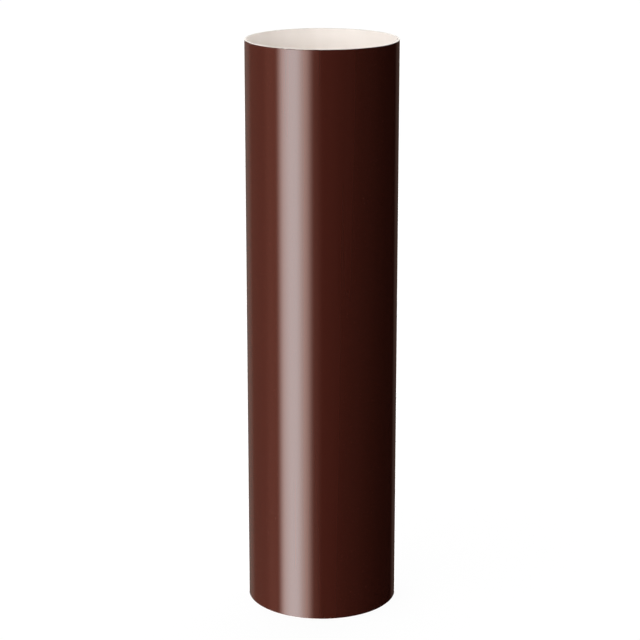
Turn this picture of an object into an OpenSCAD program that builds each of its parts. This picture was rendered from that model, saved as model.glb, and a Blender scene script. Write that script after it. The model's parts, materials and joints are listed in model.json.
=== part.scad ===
// Plain-ended round rainwater downpipe, extruded in one piece: a pale wall with a thin coloured skin
// fused to its outside. The pipe stands on its lower end. Its axis is Z, and the origin is the centre
// of the lower end. Lengths are in millimetres.

/* [Pipe] */
// Outside diameter, which fits the sockets and clips of its pipe system
outer_diameter = 100; // [50:1:160]
// Length between the two square-cut ends
pipe_length = 380; // [100:5:3000]
// Thickness of the wall, skin and core together
wall_thickness = 1.6; // [1.4:0.1:5]

/* [Cut ends] */
// Chamfer left on the outer edge of each end by the deburring tool
outer_chamfer = 0.3; // [0.1:0.05:0.6]
// Chamfer left on the inner edge of each end
inner_chamfer = 0.2; // [0.1:0.05:0.6]

/* [Hidden] */
outer_radius = outer_diameter / 2;
bore_radius = outer_radius - wall_thickness;
outer_skin_color = [0.36, 0.18, 0.15];
$fn = 180;

// Half section of the wall, from the bore on the left to the skin on the right.
module wall_section()
    polygon([
        [bore_radius, inner_chamfer],
        [bore_radius + inner_chamfer, 0],
        [outer_radius - outer_chamfer, 0],
        [outer_radius, outer_chamfer],
        [outer_radius, pipe_length - outer_chamfer],
        [outer_radius - outer_chamfer, pipe_length],
        [bore_radius + inner_chamfer, pipe_length],
        [bore_radius, pipe_length - inner_chamfer],
    ]);

// The whole length of pipe: the wall section turned about the axis.
module downpipe()
    color(outer_skin_color)
        rotate_extrude()
            wall_section();

downpipe();
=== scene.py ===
import json
import math
from collections import namedtuple

import bmesh
import bpy
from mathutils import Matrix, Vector


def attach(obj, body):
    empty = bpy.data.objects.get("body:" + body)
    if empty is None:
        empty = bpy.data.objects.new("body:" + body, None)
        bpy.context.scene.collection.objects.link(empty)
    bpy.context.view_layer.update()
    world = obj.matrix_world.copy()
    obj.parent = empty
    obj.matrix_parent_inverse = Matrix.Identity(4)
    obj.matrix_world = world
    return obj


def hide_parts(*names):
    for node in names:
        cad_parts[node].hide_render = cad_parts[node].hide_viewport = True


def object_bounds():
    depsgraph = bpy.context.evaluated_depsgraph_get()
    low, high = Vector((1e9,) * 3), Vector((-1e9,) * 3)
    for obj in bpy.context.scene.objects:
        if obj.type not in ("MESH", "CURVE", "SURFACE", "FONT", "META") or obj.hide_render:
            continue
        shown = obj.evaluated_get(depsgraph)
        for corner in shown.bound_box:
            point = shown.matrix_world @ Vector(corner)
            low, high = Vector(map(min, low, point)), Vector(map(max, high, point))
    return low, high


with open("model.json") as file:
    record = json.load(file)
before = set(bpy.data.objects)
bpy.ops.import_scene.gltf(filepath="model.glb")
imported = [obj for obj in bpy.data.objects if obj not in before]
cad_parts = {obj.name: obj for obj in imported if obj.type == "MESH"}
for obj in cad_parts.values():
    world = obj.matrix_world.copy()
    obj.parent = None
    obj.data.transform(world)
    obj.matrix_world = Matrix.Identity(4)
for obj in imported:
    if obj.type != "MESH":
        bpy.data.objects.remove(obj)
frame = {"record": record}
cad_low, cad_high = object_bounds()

# A plain-ended round rainwater downpipe in rigid plastic: a gloss brown skin extruded together with a
# pale wall. Everything is in metres. The pipe's axis is Z and it stands on the floor at Z = 0.
MM = 0.001
PIECE = "extruded_pipe"

# ---------------------------------------------------------------- sizes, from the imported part
mount_sizes = {m["name"]: m["dims"] for m in frame["record"]["mounts"]}
pipe_length = cad_high.z - cad_low.z
outer_radius = (cad_high.x - cad_low.x) / 2
wall_thickness = (mount_sizes["outer_wall"]["r_mm"] - mount_sizes["bore"]["r_mm"]) * MM
bore_radius = outer_radius - wall_thickness
outer_chamfer = (pipe_length - mount_sizes["outer_wall"]["length_mm"] * MM) / 2
inner_chamfer = (pipe_length - mount_sizes["bore"]["length_mm"] * MM) / 2

# ---------------------------------------------------------------- the pipe's mesh
SEGMENTS = 288
SKIN_THICKNESS = 0.19 * MM
EDGE_ROUNDING = 0.06 * MM
ROUNDING_STEPS = 3
EDGE_SUPPORT = 0.15 * MM
WALL_RINGS = 24
DEBURR_WANDER = 0.22
SKIN_WANDER = 0.14
TOP_PHASE = 0.4
FOOT_PHASE = 3.1
BORE, SAWN_END, SKIN = range(3)

# waves round the pipe: how many fit round it, how large each is, and how fast it turns with the phase
Wave = namedtuple("Wave", "count size shift")
WAVES = (Wave(2, 1.0, 0.9), Wave(5, 0.7, 2.3), Wave(11, 0.5, 4.1), Wave(23, 0.3, 5.2))


def wander(angle, phase):
    """A smooth value from about -1 to 1 that changes round the pipe and closes on itself."""
    total = sum(wave.size for wave in WAVES)
    return sum(wave.size * math.sin(wave.count * angle + phase * wave.shift) for wave in WAVES) / total


def rounded(before, corner, after, radius):
    """Points of an arc that rounds off a corner of a flat outline."""
    before, corner, after = Vector(before), Vector(corner), Vector(after)
    back, ahead = (before - corner).normalized(), (after - corner).normalized()
    half_angle = back.angle(ahead) / 2
    start = corner + back * (radius / math.tan(half_angle))
    end = corner + ahead * (radius / math.tan(half_angle))
    centre = corner + (back + ahead).normalized() * (radius / math.sin(half_angle))
    points = []
    for step in range(ROUNDING_STEPS + 1):
        along = start.lerp(end, step / ROUNDING_STEPS) - centre
        points.append(tuple(centre + along.normalized() * radius))
    return points


def end_outline(angle, phase):
    """One end's outline at one angle round the pipe, from the bore out to the skin.

    Each point is (radius, height below the cut, surface of the face that follows it).
    """
    inner = inner_chamfer * (1 + DEBURR_WANDER * wander(angle, phase))
    outer = outer_chamfer * (1 + DEBURR_WANDER * wander(angle, phase + 2))
    skin = SKIN_THICKNESS * (1 + SKIN_WANDER * wander(angle, phase + 4))
    corners = [
        (bore_radius, inner),
        (bore_radius + inner, 0),
        (outer_radius - outer, 0),
        (outer_radius, outer),
    ]
    far = EDGE_SUPPORT + outer + inner
    outline = [(bore_radius, far), *corners, (outer_radius, far)]
    points = [(bore_radius, inner + EDGE_SUPPORT, BORE)]
    for index in (1, 2, 3):
        for radius, depth in rounded(*outline[index - 1:index + 2], EDGE_ROUNDING):
            points.append((radius, depth, SAWN_END))
    skin_edge = outer_radius - skin
    points.append((skin_edge, outer - skin, SKIN))
    for radius, depth in rounded(*outline[3:6], EDGE_ROUNDING):
        points.append((radius, depth, SKIN))
    points.append((outer_radius, outer + EDGE_SUPPORT, SKIN))
    return points


def wall_outline(angle):
    """The closed outline of the wall at one angle: up the bore, over the top, down the skin, and back."""
    top = [(r, pipe_length - depth, surface) for r, depth, surface in end_outline(angle, TOP_PHASE)]
    foot = [(r, depth, surface) for r, depth, surface in end_outline(angle, FOOT_PHASE)]
    heights = [foot[0][1], top[0][1]]
    inner_wall = [
        (bore_radius, heights[0] + (heights[1] - heights[0]) * step / WALL_RINGS, BORE)
        for step in range(1, WALL_RINGS)
    ]
    heights = [top[-1][1], foot[-1][1]]
    outer_wall = [
        (outer_radius, heights[0] + (heights[1] - heights[0]) * step / WALL_RINGS, SKIN)
        for step in range(1, WALL_RINGS)
    ]
    # the foot is listed from the skin in to the bore, so each face takes the surface of its other point
    foot_back = [
        (r, depth, following[2])
        for (r, depth, _), following in zip(foot[::-1], [*foot[-2::-1], foot[0]])
    ]
    return inner_wall + top + outer_wall + foot_back


def make_pipe():
    """The pipe as one closed turned mesh, with its faces sorted into bore, sawn end and skin."""
    form = bmesh.new()
    rings = []
    for step in range(SEGMENTS):
        angle = 2 * math.pi * step / SEGMENTS
        outline = wall_outline(angle)
        rings.append([
            form.verts.new((r * math.cos(angle), r * math.sin(angle), cad_low.z + height))
            for r, height, _ in outline
        ])
    surfaces = [surface for _, _, surface in outline]
    count = len(surfaces)
    for ring, next_ring in zip(rings, rings[1:] + rings[:1]):
        for index, surface in enumerate(surfaces):
            following = (index + 1) % count
            face = form.faces.new((ring[index], ring[following], next_ring[following], next_ring[index]))
            face.material_index = surface
            face.smooth = True
    bmesh.ops.recalc_face_normals(form, faces=form.faces)
    mesh = bpy.data.meshes.new(PIECE)
    form.to_mesh(mesh)
    form.free()
    pipe = bpy.data.objects.new(PIECE, mesh)
    bpy.context.scene.collection.objects.link(pipe)
    return pipe


# ---------------------------------------------------------------- shader building blocks
def feed(tree, value, socket):
    """Sets a socket to a plain value, or links it to another node's output."""
    if isinstance(value, bpy.types.NodeSocket):
        tree.links.new(value, socket)
    else:
        socket.default_value = value


def place(tree, kind, inputs=None, **settings):
    """Adds a node with its settings and its inputs, and returns it."""
    made = tree.nodes.new(kind)
    for name, value in settings.items():
        setattr(made, name, value)
    for key, value in (inputs or {}).items():
        feed(tree, value, made.inputs[key])
    return made


def calculate(tree, operation, *values):
    """A math node's result."""
    return place(tree, "ShaderNodeMath", dict(enumerate(values)), operation=operation).outputs[0]


def fade(tree, value, start, end, low=0.0, high=1.0):
    """A smooth step from low to high as the value goes from start to end."""
    inputs = {"Value": value, "From Min": start, "From Max": end, "To Min": low, "To Max": high}
    return place(tree, "ShaderNodeMapRange", inputs, interpolation_type="SMOOTHSTEP").outputs["Result"]


def blend_colours(tree, factor, first, second):
    """A mix of two colours."""
    mix = place(tree, "ShaderNodeMix", data_type="RGBA")
    for index, value in ((0, factor), (6, first), (7, second)):
        feed(tree, value, mix.inputs[index])
    return mix.outputs[2]


def new_group(name, inputs, outputs):
    """An empty shader node group with named float inputs and outputs, and its two end nodes."""
    group = bpy.data.node_groups.new(name, "ShaderNodeTree")
    for label, default in inputs.items():
        socket = group.interface.new_socket(label, in_out="INPUT", socket_type="NodeSocketFloat")
        socket.default_value = default
    for label in outputs:
        group.interface.new_socket(label, in_out="OUTPUT", socket_type="NodeSocketFloat")
    return group, group.nodes.new("NodeGroupInput").outputs, group.nodes.new("NodeGroupOutput").inputs


def use_group(tree, group, inputs):
    """Places a node group with its own values, and returns its outputs."""
    made = place(tree, "ShaderNodeGroup", node_tree=group)
    for label, value in inputs.items():
        feed(tree, value, made.inputs[label])
    return made.outputs


def make_die_lines():
    """Faint lines along the pipe where the plastic was drawn through the die."""
    group, given, result = new_group(
        "die lines", {"Spacing": 1.5 * MM, "Length": 0.4}, ("Line", "Streak"))
    place_on_pipe = place(group, "ShaderNodeTexCoord").outputs["Object"]
    for output, widening, detail in (("Line", 1.0, 3.0), ("Streak", 9.0, 2.0)):
        across = calculate(group, "DIVIDE", 1 / widening, given["Spacing"])
        along = calculate(group, "DIVIDE", 1.0, given["Length"])
        scale = place(group, "ShaderNodeCombineXYZ", {"X": across, "Y": across, "Z": along})
        vector = place(
            group, "ShaderNodeVectorMath", {0: place_on_pipe, 1: scale.outputs[0]}, operation="MULTIPLY")
        noise = place(
            group, "ShaderNodeTexNoise",
            {"Vector": vector.outputs[0], "Scale": 1.0, "Detail": detail, "Roughness": 0.55})
        feed(group, noise.outputs[0], result[output])
    return group


def make_scuffs():
    """Sparse fine scratches from handling, in a few slanting directions."""
    group, given, result = new_group(
        "scuffs", {"Width": 0.25 * MM, "Length": 24 * MM, "Amount": 0.5}, ("Scuff",))
    place_on_pipe = place(group, "ShaderNodeTexCoord").outputs["Object"]
    total = None
    for tilt, turn in SCRATCH_TILT_AND_TURN:
        across = calculate(group, "DIVIDE", 1.0, given["Width"])
        along = calculate(group, "DIVIDE", 1.0, given["Length"])
        scale = place(group, "ShaderNodeCombineXYZ", {"X": across, "Y": across, "Z": along})
        turned = place(
            group, "ShaderNodeVectorRotate",
            {"Vector": place_on_pipe, "Rotation": (tilt, 0.4 * tilt, turn)}, rotation_type="EULER_XYZ")
        vector = place(
            group, "ShaderNodeVectorMath", {0: turned.outputs[0], 1: scale.outputs[0]}, operation="MULTIPLY")
        noise = place(
            group, "ShaderNodeTexNoise",
            {"Vector": vector.outputs[0], "Scale": 1.0, "Detail": 0.0, "Roughness": 0.5})
        threshold = calculate(group, "MULTIPLY_ADD", given["Amount"], -0.12, 0.86)
        edge = calculate(group, "ADD", threshold, 0.05)
        scratch = fade(group, noise.outputs[0], threshold, edge)
        total = scratch if total is None else calculate(group, "MAXIMUM", total, scratch)
    feed(group, total, result["Scuff"])
    return group


def new_material(name):
    """A material with an empty node tree, its Principled shader and its tree."""
    material = bpy.data.materials.new(name)
    material.use_nodes = True
    tree = material.node_tree
    return material, tree, tree.nodes["Principled BSDF"]


def bump(tree, height, distance):
    """A normal bent by a height, where the height from 0 to 1 stands for the distance."""
    return place(tree, "ShaderNodeBump", {"Height": height, "Distance": distance}).outputs["Normal"]


# ---------------------------------------------------------------- finishes
BROWN = (0.0366, 0.0084, 0.0055, 1.0)
BROWN_STREAK = (0.0395, 0.0092, 0.0061, 1.0)
BROWN_SCUFF = (0.090, 0.041, 0.031, 1.0)
CREAM = (0.93, 0.878, 0.834, 1.0)
CREAM_STREAK = (0.91, 0.854, 0.806, 1.0)
CREAM_CUT = (0.72, 0.68, 0.63, 1.0)
CREAM_SMEAR = (0.68, 0.635, 0.58, 1.0)
SKIN_IOR = 1.57
PALE_IOR = 1.5
SKIN_BUMP = 0.0012 * MM
BORE_BUMP = 0.006 * MM
SAW_BUMP = 0.02 * MM
SAW_MARK_PITCH = 0.45 * MM
BLADE_CENTRE = (outer_radius * 0.4, -outer_radius * 2.2, 0.0)
SCRATCH_TILT_AND_TURN = ((0.12, 0.0), (0.5, 2.1), (-0.9, 4.0))


def make_gloss_skin(die_lines, scuffs):
    """The brown outer skin: deep gloss, with faint die lines and a few hair scratches."""
    material, tree, shader = new_material("gloss brown skin")
    lines = use_group(tree, die_lines, {"Spacing": 1.4 * MM, "Length": 0.5})
    marks = use_group(tree, scuffs, {"Width": 0.22 * MM, "Length": 26 * MM, "Amount": 0.3})["Scuff"]
    streak = fade(tree, lines["Streak"], 0.35, 0.65)
    colour = blend_colours(tree, streak, BROWN, BROWN_STREAK)
    colour = blend_colours(tree, calculate(tree, "MULTIPLY", marks, 0.35), colour, BROWN_SCUFF)
    roughness = calculate(tree, "MULTIPLY_ADD", streak, 0.02, 0.07)
    roughness = calculate(tree, "MULTIPLY_ADD", marks, 0.12, roughness)
    height = calculate(tree, "MULTIPLY_ADD", marks, -0.5, lines["Line"])
    feed(tree, colour, shader.inputs["Base Color"])
    feed(tree, roughness, shader.inputs["Roughness"])
    feed(tree, bump(tree, height, SKIN_BUMP), shader.inputs["Normal"])
    shader.inputs["IOR"].default_value = SKIN_IOR
    return material


def make_pale_bore(die_lines, scuffs):
    """The pale inside: satin, with plainer die lines than the skin has."""
    material, tree, shader = new_material("pale bore")
    lines = use_group(tree, die_lines, {"Spacing": 2.0 * MM, "Length": 0.3})
    marks = use_group(tree, scuffs, {"Width": 0.3 * MM, "Length": 20 * MM, "Amount": 0.4})["Scuff"]
    streak = fade(tree, lines["Streak"], 0.3, 0.7)
    colour = blend_colours(tree, streak, CREAM, CREAM_STREAK)
    roughness = calculate(tree, "MULTIPLY_ADD", streak, 0.06, 0.34)
    height = calculate(tree, "MULTIPLY_ADD", marks, -0.5, lines["Line"])
    feed(tree, colour, shader.inputs["Base Color"])
    feed(tree, roughness, shader.inputs["Roughness"])
    feed(tree, bump(tree, height, BORE_BUMP), shader.inputs["Normal"])
    shader.inputs["IOR"].default_value = PALE_IOR
    return material


def make_sawn_end():
    """The cut ends: pale and matt, with the fine arcs that the saw blade leaves."""
    material, tree, shader = new_material("sawn end")
    place_on_pipe = place(tree, "ShaderNodeTexCoord").outputs["Object"]
    flat = place(
        tree, "ShaderNodeVectorMath", {0: place_on_pipe, 1: (1.0, 1.0, 0.0)}, operation="MULTIPLY")
    from_blade = place(
        tree, "ShaderNodeVectorMath", {0: flat.outputs[0], 1: BLADE_CENTRE}, operation="SUBTRACT")
    reach = place(tree, "ShaderNodeVectorMath", {0: from_blade.outputs[0]}, operation="LENGTH")
    sweep = calculate(tree, "DIVIDE", reach.outputs["Value"], SAW_MARK_PITCH)
    marks = place(
        tree, "ShaderNodeTexNoise",
        {"W": sweep, "Scale": 1.0, "Detail": 2.0, "Roughness": 0.6}, noise_dimensions="1D").outputs[0]
    smear = place(
        tree, "ShaderNodeTexNoise",
        {"Vector": place_on_pipe, "Scale": 160.0, "Detail": 3.0, "Roughness": 0.6}).outputs[0]
    colour = blend_colours(tree, fade(tree, smear, 0.45, 0.75), CREAM_CUT, CREAM_SMEAR)
    roughness = calculate(tree, "MULTIPLY_ADD", marks, 0.2, 0.45)
    feed(tree, colour, shader.inputs["Base Color"])
    feed(tree, roughness, shader.inputs["Roughness"])
    feed(tree, bump(tree, marks, SAW_BUMP), shader.inputs["Normal"])
    shader.inputs["IOR"].default_value = PALE_IOR
    return material


def finish_pipe(pipe):
    """Gives the pipe its three finishes, in the order of its face indices."""
    die_lines, scuffs = make_die_lines(), make_scuffs()
    pipe.data.materials.append(make_pale_bore(die_lines, scuffs))
    pipe.data.materials.append(make_sawn_end())
    pipe.data.materials.append(make_gloss_skin(die_lines, scuffs))


# ---------------------------------------------------------------- the set
CAMERA_DISTANCE = 26.49 * outer_radius
CAMERA_HEIGHT = 11.32 * outer_radius
CAMERA_LENS = 116.5
AIM = Vector((-0.0013, 0.0, 0.1929))
FLOOR_SIDE = 12.0
FLOOR_SHADOW = 0.05
LOW_LAMP_FACING = -98.0
LOW_LAMP_ELEVATION = -51.0
LOW_LAMP_SPREAD = 64.0
LOW_LAMP_POWER = 6.9
WHITE = (1.0, 1.0, 1.0, 1.0)

# Light boxes round the pipe. Facing is the direction that a box stands in, seen from the pipe: 0 is in
# front and negative is to the left. All angles are in degrees, and low and high count from the horizon.
# The key is a tall strip at the front left, warm towards its edges and cooler in its core. It reaches
# below the horizon, so that it shows in the wall of a pipe seen from above, and so do the last four boxes,
# which make the pale lines at the sides. The boxes whose low end is 0 or more light the bore. The low lamp
# adds to the left of the skin from below, so that it lights neither the bore nor the cut end.
Box = namedtuple("Box", "facing left right left_fade right_fade low high low_fade high_fade light")
LIGHT_BOXES = {
    "key strip": Box(-45, -29, 34.5, 16, 17, -42, 2, 16, 9, (4.95, 3.53, 3.13)),
    "key core": Box(-45, -26, 21.5, 25, 17, -42, 2, 16, 9, (2.97, 3.41, 3.66)),
    "key left edge": Box(-80, -21, 25, 19, 12, -42, 2, 16, 9, (0.42, 0.17, 0.12)),
    "key right edge": Box(-12, -20, 14, 12, 13, -42, 2, 16, 9, (0.56, 0.26, 0.20)),
    "front left": Box(-30, -40, 60, 25, 50, 0, 24, 6, 8, (3.25, 3.25, 3.25)),
    "front right": Box(50, -40, 40, 30, 30, 0, 24, 6, 8, (2.85, 2.85, 2.85)),
    "left high": Box(-55, -75, 65, 60, 60, 25, 65, 12, 12, (4.1, 4.1, 4.1)),
    "rear high": Box(180, -70, 70, 30, 30, 20, 60, 12, 12, (4.25, 4.25, 4.25)),
    "rear right": Box(136, -62, 70, 42, 55, 1, 50, 14, 12, (0.7, 0.7, 0.7)),
    "left side": Box(-125, -45, 65, 20, 15, -40, 10, 8, 8, (0.10, 0.09, 0.07)),
    "rear left": Box(-155, -22, 25, 20, 10, -45, 20, 8, 10, (0.13, 0.12, 0.11)),
    "rear glow": Box(155, -18, 20, 11, 10, -45, 20, 8, 10, (0.10, 0.065, 0.053)),
    "rear strip": Box(180, -14, 14, 8, 8, -40, 5, 8, 8, (3.0, 3.0, 3.0)),
}


def make_camera():
    """The camera, in front of the pipe and looking down on it, with no shift."""
    camera = bpy.data.objects.new("camera", bpy.data.cameras.new("camera"))
    bpy.context.scene.collection.objects.link(camera)
    camera.data.lens = CAMERA_LENS
    camera.location = (0.0, -CAMERA_DISTANCE, CAMERA_HEIGHT)
    camera.rotation_euler = (AIM - camera.location).to_track_quat("-Z", "Y").to_euler()
    bpy.context.scene.camera = camera


def make_low_lamp():
    """A wide soft lamp from below at the left. It lights the skin and stays out of its gloss."""
    lamp = bpy.data.objects.new("low lamp", bpy.data.lights.new("low lamp", "SUN"))
    bpy.context.scene.collection.objects.link(lamp)
    facing, elevation = math.radians(LOW_LAMP_FACING), math.radians(LOW_LAMP_ELEVATION)
    towards = Vector((
        math.sin(facing) * math.cos(elevation), -math.cos(facing) * math.cos(elevation), math.sin(elevation)))
    lamp.rotation_euler = towards.to_track_quat("Z", "Y").to_euler()
    lamp.data.angle = math.radians(LOW_LAMP_SPREAD)
    lamp.data.energy = LOW_LAMP_POWER
    lamp.visible_glossy = False


def make_floor():
    """A plain white floor that keeps a soft share of the pipe's shadow."""
    form = bmesh.new()
    half = FLOOR_SIDE / 2
    corners = ((-1, -1), (1, -1), (1, 1), (-1, 1))
    form.faces.new([form.verts.new((x * half, y * half, cad_low.z)) for x, y in corners])
    mesh = bpy.data.meshes.new("floor")
    form.to_mesh(mesh)
    form.free()
    floor = bpy.data.objects.new("floor", mesh)
    bpy.context.scene.collection.objects.link(floor)
    material, tree, shader = new_material("white floor")
    shader.inputs["Base Color"].default_value = (FLOOR_SHADOW, FLOOR_SHADOW, FLOOR_SHADOW, 1.0)
    shader.inputs["Roughness"].default_value = 1.0
    shader.inputs["Specular IOR Level"].default_value = 0.0
    glow = place(tree, "ShaderNodeEmission", {"Color": WHITE, "Strength": 1.0 - FLOOR_SHADOW})
    both = place(tree, "ShaderNodeAddShader", {0: shader.outputs[0], 1: glow.outputs[0]})
    feed(tree, both.outputs[0], tree.nodes["Material Output"].inputs["Surface"])
    mesh.materials.append(material)
    floor.visible_glossy = False
    floor.visible_diffuse = False
    floor.visible_shadow = False


def make_light_box_group():
    """The share of a light box's light that comes from a direction: 1 inside the box, 0 outside."""
    edges = {name: 0.0 for name in (
        "Azimuth", "Elevation", "Facing", "Left", "Left Fade", "Right", "Right Fade",
        "Low", "Low Fade", "High", "High Fade")}
    group, given, result = new_group("light box", edges, ("Light",))
    turned = calculate(group, "SUBTRACT", given["Azimuth"], given["Facing"])
    across = calculate(group, "WRAP", turned, 180.0, -180.0)
    share = None
    for value, low, high in ((across, "Left", "Right"), (given["Elevation"], "Low", "High")):
        low_end = calculate(group, "ADD", given[low], given[low + " Fade"])
        high_start = calculate(group, "SUBTRACT", given[high], given[high + " Fade"])
        rise = fade(group, value, given[low], low_end)
        fall = fade(group, value, high_start, given[high], 1.0, 0.0)
        both = calculate(group, "MULTIPLY", rise, fall)
        share = both if share is None else calculate(group, "MULTIPLY", share, both)
    feed(group, share, result["Light"])
    return group


def make_studio():
    """The world: light boxes in a dark studio, and plain white behind the pipe where the camera looks."""
    world = bpy.data.worlds.new("studio")
    bpy.context.scene.world = world
    world.use_nodes = True
    tree = world.node_tree
    direction = place(tree, "ShaderNodeTexCoord").outputs["Generated"]
    parts = place(tree, "ShaderNodeSeparateXYZ", {0: direction}).outputs
    forward = calculate(tree, "MULTIPLY", parts["Y"], -1.0)
    azimuth = calculate(tree, "DEGREES", calculate(tree, "ARCTAN2", parts["X"], forward))
    elevation = calculate(tree, "DEGREES", calculate(tree, "ARCSINE", parts["Z"]))
    group = make_light_box_group()
    light = (0.0, 0.0, 0.0)
    for box in LIGHT_BOXES.values():
        share = use_group(tree, group, {
            "Azimuth": azimuth, "Elevation": elevation, "Facing": box.facing,
            "Left": box.left, "Left Fade": box.left_fade, "Right": box.right, "Right Fade": box.right_fade,
            "Low": box.low, "Low Fade": box.low_fade, "High": box.high, "High Fade": box.high_fade,
        })["Light"]
        light = place(
            tree, "ShaderNodeVectorMath", {0: share, 1: box.light, 2: light},
            operation="MULTIPLY_ADD").outputs[0]
    camera_ray = place(tree, "ShaderNodeLightPath").outputs["Is Camera Ray"]
    feed(tree, blend_colours(tree, camera_ray, light, WHITE), tree.nodes["Background"].inputs["Color"])


# ---------------------------------------------------------------- put together
make_camera()
make_floor()
make_studio()
make_low_lamp()
pipe = make_pipe()
finish_pipe(pipe)
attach(pipe, "root")
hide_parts("downpipe")
bpy.context.scene.view_settings.view_transform = "Standard"
